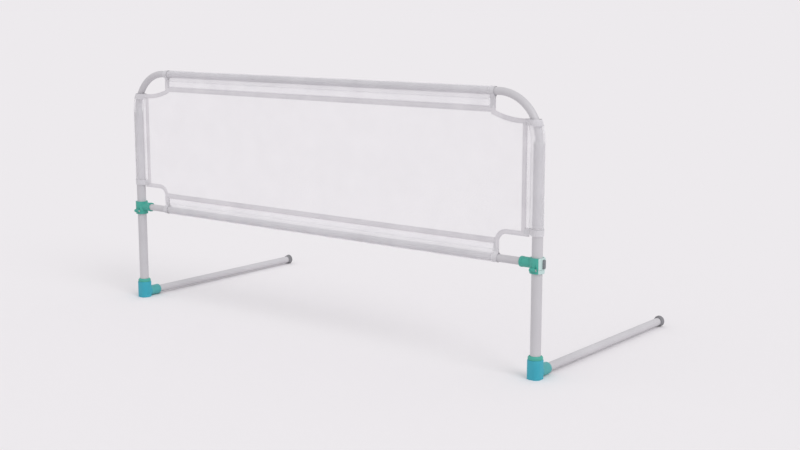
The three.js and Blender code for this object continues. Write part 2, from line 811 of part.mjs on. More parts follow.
// Tape down the end of the top flap and along the shallow curved edge below the corner bend.
function upperCornerTape() {
  const inner = -topSleeveIn - tapeWidth;
  const high = (drop) => topRailHeight - drop;
  const top = upperTapeEnd(sideSleeveTop);
  const bottom = upperTapeEnd(sideSleeveTop + tapeWidth);
  const shape = new THREE.Shape();
  shape.moveTo(inner, high(tapeStart));
  shape.lineTo(-topSleeveIn, high(tapeStart));
  shape.lineTo(-topSleeveIn, high(upperTapeDrop));
  shape.quadraticCurveTo(-upperTapeBendIn, high(upperTapeBend), top.x, high(sideSleeveTop));
  shape.absarc(-bendRadius, bendStart, upperTapeEndRadius, top.turn, bottom.turn, true);
  shape.quadraticCurveTo(-upperTapeBendIn, high(upperTapeBend + tapeWidth), inner, high(topBindingFar));
  shape.closePath();
  return sheet(shape, bindingThickness).subtract(endSlot());
}

// Tape round the rounded square notch of the cover beside the hinge.
function lowerCornerTape() {
  const centreX = lowerTapeCorner - bottomSleeveIn;
  const centreZ = bottomRailHeight + lowerTapeRise - lowerTapeCorner;
  const wide = lowerTapeCorner + tapeWidth;
  const foot = bottomRailHeight + tapeStart;
  const shape = new THREE.Shape();
  shape.moveTo(centreX - lowerTapeCorner, foot);
  shape.lineTo(centreX - lowerTapeCorner, centreZ);
  shape.absarc(centreX, centreZ, lowerTapeCorner, Math.PI, Math.PI / 2, true);
  shape.lineTo(-lowerTapeStartIn, centreZ + lowerTapeCorner);
  shape.lineTo(-lowerTapeStartIn, centreZ + wide);
  shape.absarc(centreX, centreZ, wide, Math.PI / 2, Math.PI, false);
  shape.lineTo(centreX - wide, foot);
  shape.closePath();
  return sheet(shape, bindingThickness).subtract(endSlot());
}

const guard = new THREE.Group();
guard.name = 'folding_bed_guard';

guard.add(piece('top_rail', topRail(), looks.tube));
guard.add(piece('bottom_rail', bottomRail(), looks.tube));
guard.add(piece('net_panel', netPanel(), looks.net));
guard.add(piece('top_sleeve', topSleeve(), looks.sleeve));
guard.add(piece('bottom_sleeve', bottomSleeve(), looks.sleeve));
guard.add(piece('top_binding', topBinding(), looks.binding));
guard.add(piece('bottom_binding', bottomBinding(), looks.binding));

const endPieces = [
  ['upper_upright', upperUpright, looks.tube],
  ['elbow_bush', elbowBush, looks.pale],
  ['hinge_upper', hingeUpper, looks.hinge],
  ['button_housing', buttonHousing, looks.pale],
  ['hinge_lower', hingeLower, looks.hinge],
  ['hinge_pin', hingePin, looks.steel],
  ['release_button', releaseButton, looks.dark],
  ['button_spring', buttonSpring, looks.steel],
  ['lower_upright', lowerUpright, looks.tube],
  ['foot_collar', footCollar, looks.hinge],
  ['foot_plug', footPlug, looks.dark],
  ['foot_screw', footScrew, looks.steel],
  ['foot_bracket', footBracket, looks.foot],
  ['support_arm', supportArm, looks.tube],
  ['arm_cap', armCap, looks.dark],
  ['side_sleeve', sideSleeve, looks.sleeve],
  ['side_binding', sideBinding, looks.binding],
  ['upper_corner_tape', upperCornerTape, looks.binding],
  ['lower_corner_tape', lowerCornerTape, looks.binding],
];

for (const [word, side] of [['left', -1], ['right', 1]]) {
  for (const [name, make, look] of endPieces) {
    guard.add(piece(`${name}_${word}`, make(), look, side));
  }
}

export default guard;
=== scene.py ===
import math
import random

import bmesh
import bpy
import numpy as np
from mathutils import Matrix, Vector


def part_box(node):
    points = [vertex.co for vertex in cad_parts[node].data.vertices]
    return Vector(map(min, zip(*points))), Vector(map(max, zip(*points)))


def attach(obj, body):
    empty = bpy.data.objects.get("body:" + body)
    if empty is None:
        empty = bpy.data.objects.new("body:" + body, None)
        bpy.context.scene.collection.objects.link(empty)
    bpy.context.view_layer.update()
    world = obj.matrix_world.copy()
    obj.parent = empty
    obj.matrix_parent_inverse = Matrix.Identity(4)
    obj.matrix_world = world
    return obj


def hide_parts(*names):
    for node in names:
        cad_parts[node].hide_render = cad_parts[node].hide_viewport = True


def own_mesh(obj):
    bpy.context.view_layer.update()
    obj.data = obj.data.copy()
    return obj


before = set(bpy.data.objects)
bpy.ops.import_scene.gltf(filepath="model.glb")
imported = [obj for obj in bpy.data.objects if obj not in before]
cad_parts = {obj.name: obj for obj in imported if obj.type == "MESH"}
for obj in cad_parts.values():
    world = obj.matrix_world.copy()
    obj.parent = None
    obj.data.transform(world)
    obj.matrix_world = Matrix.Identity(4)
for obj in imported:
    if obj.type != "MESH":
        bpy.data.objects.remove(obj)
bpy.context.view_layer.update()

MM = 0.001

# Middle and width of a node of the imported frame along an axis, in metres.
def middle(node, axis):
    low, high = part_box(node)
    return (low[axis] + high[axis]) / 2


def width(node, axis):
    low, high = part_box(node)
    return high[axis] - low[axis]


# Colour from 0 to 255 per channel, turned into the linear values that shaders take, by the sRGB curve.
def colour(red, green, blue):
    def linear(value):
        share = value / 255
        if share <= 0.04045:
            return share / 12.92
        return ((share + 0.055) / 1.055) ** 2.4
    return (linear(red), linear(green), linear(blue), 1)


X, Y, Z = 0, 1, 2
SIDES = {"left": -1, "right": 1}

# Tubes. Their wall and the bend's radius are the CAD model's, which no box of the frame shows.
HALF_SPACING = middle("lower_upright_right", X)
GUARD_Y = middle("lower_upright_right", Y)
UPRIGHT_RADIUS = width("lower_upright_right", X) / 2
RAIL_RADIUS = width("bottom_rail", Z) / 2
ARM_RADIUS = width("support_arm_right", X) / 2
TOP_RAIL_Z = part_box("top_rail")[1][Z] - RAIL_RADIUS
BOTTOM_RAIL_Z = middle("bottom_rail", Z)
ARM_Z = middle("support_arm_right", Z)
TUBE_WALL = 1.2 * MM
BEND_RADIUS = 95 * MM
BEND_START_Z = TOP_RAIL_Z - BEND_RADIUS

# Where two mouldings change colour, measured from the upright's axis: the hinge's outer part, paler
# partly as the housing's tone and partly as painted light falling on that side, and the foot's nozzle.
# The blur is half of the band over which one colour turns into the other.
PALE_SIDE_FROM = 9.9 * MM
NOZZLE_FROM = 15.2 * MM
TONE_BLUR = 0.2 * MM

# Cloth cover. "In" sizes run from an upright's axis towards the middle of the guard.
TAPE_WIDTH = 10 * MM
TAPE_EDGE = 0.5 * MM
TAPE_BULGE = 1.1 * MM
RAIL_SLEEVE_RADIUS = RAIL_RADIUS + 1.8 * MM
UPRIGHT_SLEEVE_RADIUS = UPRIGHT_RADIUS + 1.1 * MM
RAIL_CLOSING = RAIL_RADIUS + 8.4 * MM
UPRIGHT_CLOSING = UPRIGHT_RADIUS + 7.7 * MM
FLAP_HALF_GAP = 0.55 * MM
FLAP_TUCK = 4 * MM
FLAP_LEAST = 1 * MM
HEM_WIDTH = 13 * MM
HEM_RISE = 0.5 * MM
END_DRAW = 4.4 * MM
END_SNUG = 1.1 * MM
END_DRAW_LENGTH = 26 * MM
TOP_SLEEVE_HALF = width("top_sleeve", X) / 2
BOTTOM_SLEEVE_HALF = width("bottom_sleeve", X) / 2
SIDE_SLEEVE_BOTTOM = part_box("side_sleeve_right")[0][Z]
SIDE_SLEEVE_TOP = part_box("side_sleeve_right")[1][Z]
TOP_BINDING_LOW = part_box("top_binding")[0][Z]
TOP_BINDING_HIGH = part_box("top_binding")[1][Z]
BOTTOM_BINDING_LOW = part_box("bottom_binding")[0][Z]
BOTTOM_BINDING_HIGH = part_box("bottom_binding")[1][Z]
SIDE_BINDING_NEAR = HALF_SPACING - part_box("side_binding_right")[1][X]
SIDE_BINDING_FAR = HALF_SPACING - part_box("side_binding_right")[0][X]
SIDE_BINDING_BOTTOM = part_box("side_binding_right")[0][Z]
SIDE_BINDING_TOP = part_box("side_binding_right")[1][Z]
UPPER_TAPE_IN = HALF_SPACING - TOP_SLEEVE_HALF
UPPER_TAPE_DROP = 42 * MM
UPPER_TAPE_BEND_DROP = 57.5 * MM
UPPER_TAPE_BEND_IN = 70 * MM
LOWER_TAPE_IN = HALF_SPACING - BOTTOM_SLEEVE_HALF
LOWER_TAPE_CORNER = 23 * MM
LOWER_TAPE_RISE = 56 * MM
LOWER_TAPE_FOOT = 19 * MM
TAPE_END_IN = 20 * MM
TAPE_STEP = 6 * MM
LONG_TAPE_STEP = 12 * MM

# A tape's section, pinched at two seams. Each point is (share of the half width, share of the bulge).
TAPE_SEAM = 0.62
TAPE_PINCH = 0.62
TAPE_PROFILE = [
    (-1, 0.45), (-0.9, 0.8), (-TAPE_SEAM, TAPE_PINCH), (-0.35, 1), (0, 1.08),
    (0.35, 1), (TAPE_SEAM, TAPE_PINCH), (0.9, 0.8), (1, 0.45),
]
TAPE_WAVE = 9 * MM
TAPE_WAVE_SHARE = 0.12
SHARPEST_TURN = 0.4

# Net: two layers of slanted strands, knitted to a small diamond mesh.
STRAND = 0.41 * MM
STRAND_PITCH = 2.1 * MM
STRAND_SLANT = math.radians(45)
SHORTEST_STRAND = 2 * STRAND
NET_TUCK = 6 * MM
NET_SLACK = 1 * MM

# Sewing thread.
STITCH_PITCH = 4.4 * MM
STITCH_LENGTH = 3.3 * MM
STITCH_RADIUS = 0.26 * MM
STITCH_SIDES = 5
STITCH_INSET = 2 * MM
# Rings of a stitch: (share of its length from the middle, share of its radius).
STITCH_RINGS = [(-0.5, 0.35), (-0.3, 1), (0.3, 1), (0.5, 0.35)]

# Small waves of the cloth, as the lengths of the waves and their height: one set for a sleeve's round
# part, and a pucker for its flap. A flap's seed is the sum of its sleeve's seed and the pucker's.
RAIL_WAVES = ((61 * MM, 97 * MM, 171 * MM), 0.5 * MM)
RAIL_PUCKER = ((43 * MM, 71 * MM, 139 * MM), 0.9 * MM)
SIDE_WAVES = ((37 * MM, 59 * MM, 83 * MM), 0.3 * MM)
SIDE_PUCKER = ((41 * MM, 67 * MM), 0.6 * MM)
TOP_SEED, BOTTOM_SEED, SIDE_SEED = 5, 11, 20
RAIL_PUCKER_SEED, SIDE_PUCKER_SEED = 1, 5

# How finely pieces are drawn. An edge sharper than its crease angle is shaded as an edge.
ROUND_STEPS = 22
FLAP_STEPS = 4
CLOSING_STEPS = 3
TUBE_SIDES = 48
CLOTH_STEP = 5 * MM
BEND_STEPS = 28
CURVE_STEPS = 14
TUBE_CREASE = math.radians(40)
MOULDING_CREASE = math.radians(32)
TAPE_CREASE = math.radians(60)
YARN_CREASE = math.radians(30)

# Two points of a CAD solid closer than this are one, and two faces closer to flat than this are one.
SAME_POINT = 0.004 * MM
SAME_PLANE = math.radians(0.5)

# Edges of plastic look rounded, and are painted paler, partly as rubbed wear and partly as a painted
# highlight: the cosines between the rounded and the flat normal where the paler tone starts and where it
# is full, and its strength.
EDGE_SAMPLES = 6
EDGE_STARTS = 0.995
EDGE_FULL = 0.9
EDGE_WEAR_AND_HIGHLIGHT = 0.35

# Depths of the surfaces' fine grain, and how wide the end cap's edge looks rounded.
PAINT_GRAIN = 0.1 * MM
PLASTIC_GRAIN = 0.08 * MM
RUBBER_GRAIN = 0.12 * MM
STEEL_GRAIN = 0.05 * MM
CAP_EDGE = 0.6 * MM

# Two near tones of each material, and the tone of the foot's nozzle.
PAINT_GREYS = (colour(192, 190, 194), colour(201, 199, 203))
CAP_GREYS = (colour(122, 121, 125), colour(140, 139, 143))
STEEL_GREYS = (colour(178, 181, 184), colour(198, 199, 196))
HINGE_GREENS = (colour(58, 159, 144), colour(74, 170, 155))
SHELL_GREENS = (colour(188, 212, 210), colour(199, 220, 218))
FOOT_BLUES = (colour(48, 159, 180), colour(60, 169, 187))
BUTTON_GREYS = (colour(112, 117, 121), colour(124, 129, 133))
BUSH_GREYS = (colour(208, 209, 210), colour(219, 220, 221))
NOZZLE_GREEN = colour(76, 170, 172)

# Plastics: name, tones and how wide their edges look rounded.
PLASTICS = {
    "hinge": ("hinge_plastic", HINGE_GREENS, 0.6 * MM),
    "lower_hinge": ("lower_hinge_plastic", HINGE_GREENS, 0.6 * MM),
    "shell": ("housing_plastic", SHELL_GREENS, 0.4 * MM),
    "foot": ("foot_plastic", FOOT_BLUES, 0.8 * MM),
    "button": ("button_plastic", BUTTON_GREYS, 0.4 * MM),
    "bush": ("bush_plastic", BUSH_GREYS, 0.4 * MM),
}

# How much the threads bend, and their share in the choice between a cloth's two colours.
WEAVE_DISTORTION = 0.4
WEAVE_SHARE = 0.4

# Cloths: name, dark and light colour, scale and depth of the threads, and how opaque the cloth is. The
# tubes show through the sheer cloth of the sleeves.
CLOTHS = {
    "sleeve": ("sheer_net", colour(236, 234, 239), colour(251, 249, 253), 500, 0.2 * MM, 0.35),
    "hem": ("hem_cloth", colour(213, 211, 216), colour(228, 226, 230), 500, 0.25 * MM, 0.85),
    "binding": ("binding_tape", colour(212, 209, 214), colour(226, 223, 227), 900, 0.2 * MM, 1),
    "net": ("net_yarn", colour(242, 240, 243), colour(248, 246, 249), 900, 0.1 * MM, 1),
    "thread": ("sewing_thread", colour(205, 203, 208), colour(226, 224, 228), 1200, 0.1 * MM, 1),
}


def new_material(name, **values):
    material = bpy.data.materials.new(name)
    material.use_nodes = True
    shader = material.node_tree.nodes["Principled BSDF"]
    for socket, value in values.items():
        shader.inputs[socket.replace("_", " ")].default_value = value
    return material, material.node_tree, shader


def noise(tree, scale, detail=4):
    node = tree.nodes.new("ShaderNodeTexNoise")
    node.inputs["Scale"].default_value = scale
    node.inputs["Detail"].default_value = detail
    place = tree.nodes.new("ShaderNodeTexCoord")
    tree.links.new(place.outputs["Object"], node.inputs["Vector"])
    return node.outputs["Fac"]


# A maths operation on sockets and numbers, such as a product or a maximum.
def combine(tree, operation, *values):
    node = tree.nodes.new("ShaderNodeMath")
    node.operation = operation
    for socket, value in zip(node.inputs, values):
        if isinstance(value, (int, float)):
            socket.default_value = value
        else:
            tree.links.new(value, socket)
    return node.outputs["Value"]


# Turns one range of a value into another. The ends not named are 0 and 1.
def map_range(tree, value, **ends):
    node = tree.nodes.new("ShaderNodeMapRange")
    for socket, end in ends.items():
        node.inputs[socket.replace("_", " ")].default_value = end
    tree.links.new(value, node.inputs["Value"])
    return node.outputs["Result"]


# Mixes two colours by a factor and feeds the shader. The second one may be a socket or a colour.
def mix_colours(tree, shader, factor, first, second, blend="MIX"):
    node = tree.nodes.new("ShaderNodeMix")
    node.data_type = "RGBA"
    node.blend_type = blend
    tree.links.new(factor, node.inputs["Factor"])
    tree.links.new(first, node.inputs["A"])
    if isinstance(second, tuple):
        node.inputs["B"].default_value = second
    else:
        tree.links.new(second, node.inputs["B"])
    tree.links.new(node.outputs["Result"], shader.inputs["Base Color"])


# Spreads two colours over a mask and feeds the shader.
def blend_colours(tree, shader, mask, first, second, low=0.35, high=0.65):
    ramp = tree.nodes.new("ShaderNodeValToRGB")
    ramp.color_ramp.elements[0].position = low
    ramp.color_ramp.elements[1].position = high
    ramp.color_ramp.elements[0].color = first
    ramp.color_ramp.elements[1].color = second
    tree.links.new(mask, ramp.inputs["Fac"])
    tree.links.new(ramp.outputs["Color"], shader.inputs["Base Color"])
    return ramp.outputs["Color"]


def vary_roughness(tree, shader, mask, low, high):
    tree.links.new(map_range(tree, mask, To_Min=low, To_Max=high), shader.inputs["Roughness"])


def bump(tree, shader, height, strength, distance, under=None):
    node = tree.nodes.new("ShaderNodeBump")
    node.inputs["Strength"].default_value = strength
    node.inputs["Distance"].default_value = distance
    tree.links.new(height, node.inputs["Height"])
    if under is not None:
        tree.links.new(under, node.inputs["Normal"])
    tree.links.new(node.outputs["Normal"], shader.inputs["Normal"])


# Softens the look of sharp edges and gives a mask of where those edges are.
def soft_edges(tree, radius):
    rounded = tree.nodes.new("ShaderNodeBevel")
    rounded.samples = EDGE_SAMPLES
    rounded.inputs["Radius"].default_value = radius
    flat = tree.nodes.new("ShaderNodeNewGeometry")
    dot = tree.nodes.new("ShaderNodeVectorMath")
    dot.operation = "DOT_PRODUCT"
    tree.links.new(rounded.outputs["Normal"], dot.inputs[0])
    tree.links.new(flat.outputs["Normal"], dot.inputs[1])
    return rounded.outputs["Normal"], dot.outputs["Value"]


def paint_material():
    material, tree, shader = new_material(
        "tube_paint", Metallic=0.05, Specular_IOR_Level=0.4, Coat_Weight=0.08, Coat_Roughness=0.3
    )
    blend_colours(tree, shader, noise(tree, scale=6), *PAINT_GREYS)
    vary_roughness(tree, shader, noise(tree, scale=160), low=0.42, high=0.54)
    bump(tree, shader, noise(tree, scale=1400, detail=2), strength=0.12, distance=PAINT_GRAIN)
    return material


# Moulded plastic in two near tones, a little paler at its edges, partly rubbed wear and partly a painted
# highlight.
def plastic_material(name, tones, edge):
    material, tree, shader = new_material(name, Specular_IOR_Level=0.45)
    normal, corners = soft_edges(tree, edge)
    blended = blend_colours(tree, shader, noise(tree, scale=30), *tones, low=0.25, high=0.8)
    # Painted highlight and rubbed wear: the edges are mixed towards a paler tone.
    wear_and_highlight = map_range(tree, corners, From_Min=EDGE_STARTS, From_Max=EDGE_FULL, To_Max=EDGE_WEAR_AND_HIGHLIGHT)
    mix_colours(tree, shader, wear_and_highlight, blended, blended, blend="SCREEN")
    vary_roughness(tree, shader, noise(tree, scale=220), low=0.4, high=0.55)
    grain = noise(tree, scale=2200, detail=3)
    bump(tree, shader, grain, strength=0.2, distance=PLASTIC_GRAIN, under=normal)
    return material


# Mixes a second colour into a moulding where a coordinate of the part passes a place.
def two_tone(material, axis, place, second, mirrored=False):
    tree = material.node_tree
    shader = tree.nodes["Principled BSDF"]
    spot = tree.nodes.new("ShaderNodeTexCoord")
    split = tree.nodes.new("ShaderNodeSeparateXYZ")
    tree.links.new(spot.outputs["Object"], split.inputs["Vector"])
    value = split.outputs[axis]
    if mirrored:
        value = combine(tree, "ABSOLUTE", value)
    mask = map_range(tree, value, From_Min=place - TONE_BLUR, From_Max=place + TONE_BLUR)
    mix_colours(tree, shader, mask, shader.inputs["Base Color"].links[0].from_socket, second)


def rubber_material():
    material, tree, shader = new_material("cap_rubber", Specular_IOR_Level=0.35)
    normal, _ = soft_edges(tree, CAP_EDGE)
    blend_colours(tree, shader, noise(tree, scale=45), *CAP_GREYS)
    vary_roughness(tree, shader, noise(tree, scale=400), low=0.6, high=0.8)
    bump(tree, shader, noise(tree, scale=1800), strength=0.35, distance=RUBBER_GRAIN, under=normal)
    return material


def steel_material():
    material, tree, shader = new_material("zinc_steel", Metallic=1)
    blend_colours(tree, shader, noise(tree, scale=90), *STEEL_GREYS)
    vary_roughness(tree, shader, noise(tree, scale=500), low=0.24, high=0.42)
    bump(tree, shader, noise(tree, scale=2500, detail=2), strength=0.15, distance=STEEL_GRAIN)
    return material


# Crossed threads: two wave patterns over the cloth's own width and length in metres.
def weave_height(tree, threads):
    place = tree.nodes.new("ShaderNodeTexCoord")
    waves = []
    for direction in ("X", "Y"):
        wave = tree.nodes.new("ShaderNodeTexWave")
        wave.wave_type = "BANDS"
        wave.bands_direction = direction
        wave.inputs["Scale"].default_value = threads
        wave.inputs["Distortion"].default_value = WEAVE_DISTORTION
        tree.links.new(place.outputs["UV"], wave.inputs["Vector"])
        waves.append(wave.outputs["Fac"])
    return combine(tree, "MULTIPLY", *waves)


# Woven cloth: its threads and a broad noise together choose between the dark and the light colour.
def cloth_material(name, dark, light, threads, depth, opacity):
    material, tree, shader = new_material(name, Roughness=0.85, Sheen_Weight=0.15, Alpha=opacity)
    height = weave_height(tree, threads)
    tones = combine(tree, "MULTIPLY_ADD", height, WEAVE_SHARE, noise(tree, scale=25))
    blend_colours(tree, shader, tones, dark, light, low=0.3, high=0.9)
    vary_roughness(tree, shader, noise(tree, scale=60), low=0.78, high=0.92)
    bump(tree, shader, height, strength=0.5, distance=depth)
    return material


def make_materials():
    made = {"tube": paint_material(), "cap": rubber_material(), "steel": steel_material()}
    for look, values in PLASTICS.items():
        made[look] = plastic_material(*values)
    for look, values in CLOTHS.items():
        made[look] = cloth_material(*values)
    # The hinge's outer side gets the housing's pale tone, partly its own colour and partly painted light
    # falling on its outer side.
    two_tone(made["lower_hinge"], "X", HALF_SPACING + PALE_SIDE_FROM, SHELL_GREENS[0], mirrored=True)
    two_tone(made["foot"], "Y", GUARD_Y + NOZZLE_FROM, NOZZLE_GREEN)
    return made


MATERIALS = make_materials()


def add_object(name, data):
    added = bpy.data.objects.new(name, data)
    bpy.context.scene.collection.objects.link(added)
    return added


# Shows a mesh with a look. It rides on a body and has a material slot.
def add_piece(name, mesh, look, body):
    mesh.polygons.foreach_set("use_smooth", [True] * len(mesh.polygons))
    mesh.materials.append(MATERIALS[look])
    piece = add_object(name, mesh)
    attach(piece, body)
    return piece


# A mesh piece from points and faces, with its cloth coordinates in metres where they are given.
def make_piece(name, points, faces, look, body, places=None):
    mesh = bpy.data.meshes.new(name)
    mesh.from_pydata([tuple(p) for p in points], [], [tuple(f) for f in faces])
    if places is not None:
        layer = mesh.uv_layers.new(name="cloth")
        corners = np.zeros(len(mesh.loops), dtype=np.int32)
        mesh.loops.foreach_get("vertex_index", corners)
        layer.data.foreach_set("uv", np.asarray(places, dtype=np.float32)[corners].ravel())
    mesh.update()
    return add_piece(name, mesh, look, body)


# Faces of a grid of rows by columns. A closed grid joins its last column to its first.
def grid_faces(rows, columns, closed=False):
    faces = []
    for row in range(rows - 1):
        for column in range(columns if closed else columns - 1):
            after = (column + 1) % columns
            faces.append((
                row * columns + column,
                row * columns + after,
                (row + 1) * columns + after,
                (row + 1) * columns + column,
            ))
    return faces


# An open cloth from rows of points, each row running across the cloth.
def make_cloth(name, rows, look):
    grid = np.array(rows, dtype=float)
    count, columns = grid.shape[:2]
    along = np.linalg.norm(np.diff(grid, axis=0), axis=2).mean(axis=1)
    across = np.linalg.norm(np.diff(grid, axis=1), axis=2).mean(axis=0)
    u = np.concatenate([[0], np.cumsum(along)])
    v = np.concatenate([[0], np.cumsum(across)])
    places = [(u[row], v[column]) for row in range(count) for column in range(columns)]
    points = grid.reshape(-1, 3)
    piece = make_piece(name, points, grid_faces(count, columns), look, "guard", places)
    return piece, u[-1], v[-1]


# A hollow painted tube along a path, open at both ends, in place of a CAD node.
def make_tube(node, name, path, radius, side_axis, body):
    points = []
    path = [Vector(p) for p in path]
    for index, point in enumerate(path):
        before = path[max(index - 1, 0)]
        after = path[min(index + 1, len(path) - 1)]
        direction = (after - before).normalized()
        side = Vector(side_axis)
        up = direction.cross(side).normalized()
        for ring in (radius, radius - TUBE_WALL):
            for step in range(TUBE_SIDES):
                angle = math.tau * step / TUBE_SIDES
                points.append(point + side * (ring * math.cos(angle)) + up * (ring * math.sin(angle)))
    stride = TUBE_SIDES * 2
    faces = []
    for index in range(len(path) - 1):
        for step in range(TUBE_SIDES):
            after = (step + 1) % TUBE_SIDES
            low = index * stride
            high = low + stride
            faces.append((low + step, low + after, high + after, high + step))
            low += TUBE_SIDES
            high += TUBE_SIDES
            faces.append((high + step, high + after, low + after, low + step))
    for start, flip in ((0, False), ((len(path) - 1) * stride, True)):
        for step in range(TUBE_SIDES):
            after = (step + 1) % TUBE_SIDES
            rim = (start + step, start + TUBE_SIDES + step, start + TUBE_SIDES + after, start + after)
            faces.append(rim[::-1] if flip else rim)
    piece = make_piece(name, points, faces, "tube", body)
    piece.data.set_sharp_from_angle(angle=TUBE_CREASE)
    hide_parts(node)


# Points on the top rail's right-hand bend, from the upright up to the level run.
def bend_points(steps):
    centre_x = HALF_SPACING - BEND_RADIUS
    points = []
    for step in range(steps + 1):
        angle = math.pi / 2 * step / steps
        x = centre_x + BEND_RADIUS * math.cos(angle)
        z = BEND_START_Z + BEND_RADIUS * math.sin(angle)
        points.append((x, GUARD_Y, z))
    return points


def straight_path(start, end):
    return [Vector(start).lerp(Vector(end), share) for share in (0, 0.5, 1)]


def make_tubes():
    leg_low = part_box("top_rail")[0][Z]
    right = [(HALF_SPACING, GUARD_Y, leg_low)] + bend_points(BEND_STEPS)
    left = [(-x, y, z) for x, y, z in reversed(right)]
    make_tube("top_rail", "top_rail_tube", right + left, RAIL_RADIUS, (0, 1, 0), "guard")
    low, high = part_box("bottom_rail")
    path = straight_path((low[X], GUARD_Y, BOTTOM_RAIL_Z), (high[X], GUARD_Y, BOTTOM_RAIL_Z))
    make_tube("bottom_rail", "bottom_rail_tube", path, RAIL_RADIUS, (0, 1, 0), "guard")
    for word, side in SIDES.items():
        x = side * HALF_SPACING
        for part, body in (("upper_upright", "guard"), ("lower_upright", "stand")):
            node = f"{part}_{word}"
            low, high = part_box(node)
            path = straight_path((x, GUARD_Y, low[Z]), (x, GUARD_Y, high[Z]))
            make_tube(node, f"{part}_tube_{word}", path, UPRIGHT_RADIUS, (0, 1, 0), body)
        node = f"support_arm_{word}"
        low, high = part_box(node)
        path = straight_path((x, low[Y], ARM_Z), (x, high[Y], ARM_Z))
        make_tube(node, f"support_arm_tube_{word}", path, ARM_RADIUS, (1, 0, 0), f"{word}_arm")


# A moulded copy of a CAD solid: its flat faces are joined up and its corners shaded by angle.
def make_moulding(node, name, body, look):
    work = bmesh.new()
    work.from_mesh(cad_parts[node].data)
    bmesh.ops.remove_doubles(work, verts=work.verts, dist=SAME_POINT)
    bmesh.ops.dissolve_limit(
        work, angle_limit=SAME_PLANE, verts=work.verts, edges=work.edges, use_dissolve_boundaries=False
    )
    mesh = bpy.data.meshes.new(name)
    work.to_mesh(mesh)
    work.free()
    piece = add_piece(name, mesh, look, body)
    mesh.set_sharp_from_angle(angle=MOULDING_CREASE)
    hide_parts(node)


# Each moulding: the body that it rides on, its material slot, and its look where that isn't the slot's.
MOULDINGS = {
    "hinge_upper": ("guard", "hinge"),
    "button_housing": ("guard", "bush", "shell"),
    "hinge_lower": ("stand", "hinge", "lower_hinge"),
    "foot_collar": ("stand", "hinge"),
    "foot_bracket": ("{side}_arm", "foot"),
    "foot_plug": ("stand", "bush"),
    "elbow_bush": ("guard", "bush"),
    "release_button": ("{side}_button", "button"),
    "arm_cap": ("{side}_arm", "cap"),
    "hinge_pin": ("stand", "steel"),
    "foot_screw": ("stand", "steel"),
}


def make_mouldings():
    for word, side in SIDES.items():
        for node, (body, slot, *look) in MOULDINGS.items():
            body = body.format(side=word)
            look = look[0] if look else slot
            make_moulding(f"{node}_{word}", f"{node}_part_{word}", body, look)
        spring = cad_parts[f"button_spring_{word}"]
        spring.data.materials[0] = MATERIALS["steel"]
        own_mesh(spring)


# Small repeatable waves for cloth: a sum of sines with seeded phases.
class Ripple:
    def __init__(self, seed, lengths, size):
        chosen = random.Random(seed)
        self.parts = [(math.tau / length, chosen.uniform(0, math.tau)) for length in lengths]
        self.size = size

    def at(self, place):
        total = sum(math.sin(rate * place + phase) for rate, phase in self.parts)
        return self.size * total / len(self.parts)


# Half of the section of a sleeve, from the flap's end round to the far side of the tube.
# Each point is (towards the flap, across, share of the way along the flap or -1 on the tube).
def sleeve_half(radius_p, radius_q, closing, flap_end, grow=0):
    turn = math.acos(min(radius_p / closing, 1))
    points = []
    for step in range(FLAP_STEPS + 1):
        share = step / FLAP_STEPS
        points.append((flap_end + (closing - flap_end) * share, FLAP_HALF_GAP + grow, share))
    start = Vector((closing, FLAP_HALF_GAP + grow))
    tangent = Vector((radius_p * math.cos(turn), (radius_q + grow) * math.sin(turn)))
    for step in range(1, CLOSING_STEPS):
        place = start.lerp(tangent, step / CLOSING_STEPS)
        points.append((place[0], place[1], -1))
    for step in range(ROUND_STEPS // 2 + 1):
        angle = turn + (math.pi - turn) * step / (ROUND_STEPS // 2)
        points.append(((radius_p + grow) * math.cos(angle), (radius_q + grow) * math.sin(angle), -1))
    return points


# One row of a sleeve from half of its section. Its flap sways sideways, and "place" turns a point of the
# section into a point of the guard.
def section_row(half, sway, place):
    other = [(p, -q, share) for p, q, share in reversed(half[:-1])]
    row = []
    for p, q, share in half + other:
        lean = sway * math.sin(math.pi * share) if share >= 0 else 0
        row.append(place(p, GUARD_Y + q + lean))
    return row


# How much a rail sleeve is drawn in to its tube, from 0 to 1 over its last stretch.
def drawn_in(to_end):
    share = min(max(1 - to_end / END_DRAW_LENGTH, 0), 1)
    return share * share * (3 - 2 * share)


# Rows of a sleeve along a level rail. "Towards" is 1 when its flap points up and -1 when it points down.
def rail_rows(start, end, height, towards, flap_end, ripples, grow=0):
    steps = max(int(round(abs(end - start) / CLOTH_STEP)), 2)
    wave, pucker = ripples
    edge = max(abs(start), abs(end))
    rows = []
    for step in range(steps + 1):
        x = start + (end - start) * step / steps
        drawn = drawn_in(edge - abs(x))
        radius = RAIL_SLEEVE_RADIUS + wave.at(x) * (1 - drawn) - END_SNUG * drawn
        half = sleeve_half(radius, radius, RAIL_CLOSING - END_DRAW * drawn, flap_end, grow)
        rows.append(section_row(half, pucker.at(x), lambda p, y: (x, y, height + towards * p)))
    return rows


# Rows of a side sleeve, level cuts through the upright and the start of the bend.
def side_rows(side, low, high, ripples, grow=0):
    wave, pucker = ripples
    steps = max(int(round((high - low) / CLOTH_STEP)), 2)
    flap_end = SIDE_BINDING_NEAR + FLAP_TUCK
    rows = []
    for step in range(steps + 1):
        z = low + (high - low) * step / steps
        rise = max(z - BEND_START_Z, 0)
        turn = math.asin(rise / BEND_RADIUS)
        middle_in = BEND_RADIUS * (1 - math.cos(turn))
        radius = UPRIGHT_SLEEVE_RADIUS + wave.at(z)
        radius_p = radius / math.cos(turn)
        closing = min(UPRIGHT_CLOSING / math.cos(turn), flap_end - middle_in - FLAP_LEAST)
        half = sleeve_half(radius_p, radius, closing, flap_end - middle_in, grow)
        axis_x = HALF_SPACING - middle_in
        rows.append(section_row(half, pucker.at(z), lambda p, y: (side * (axis_x - p), y, z)))
    return rows


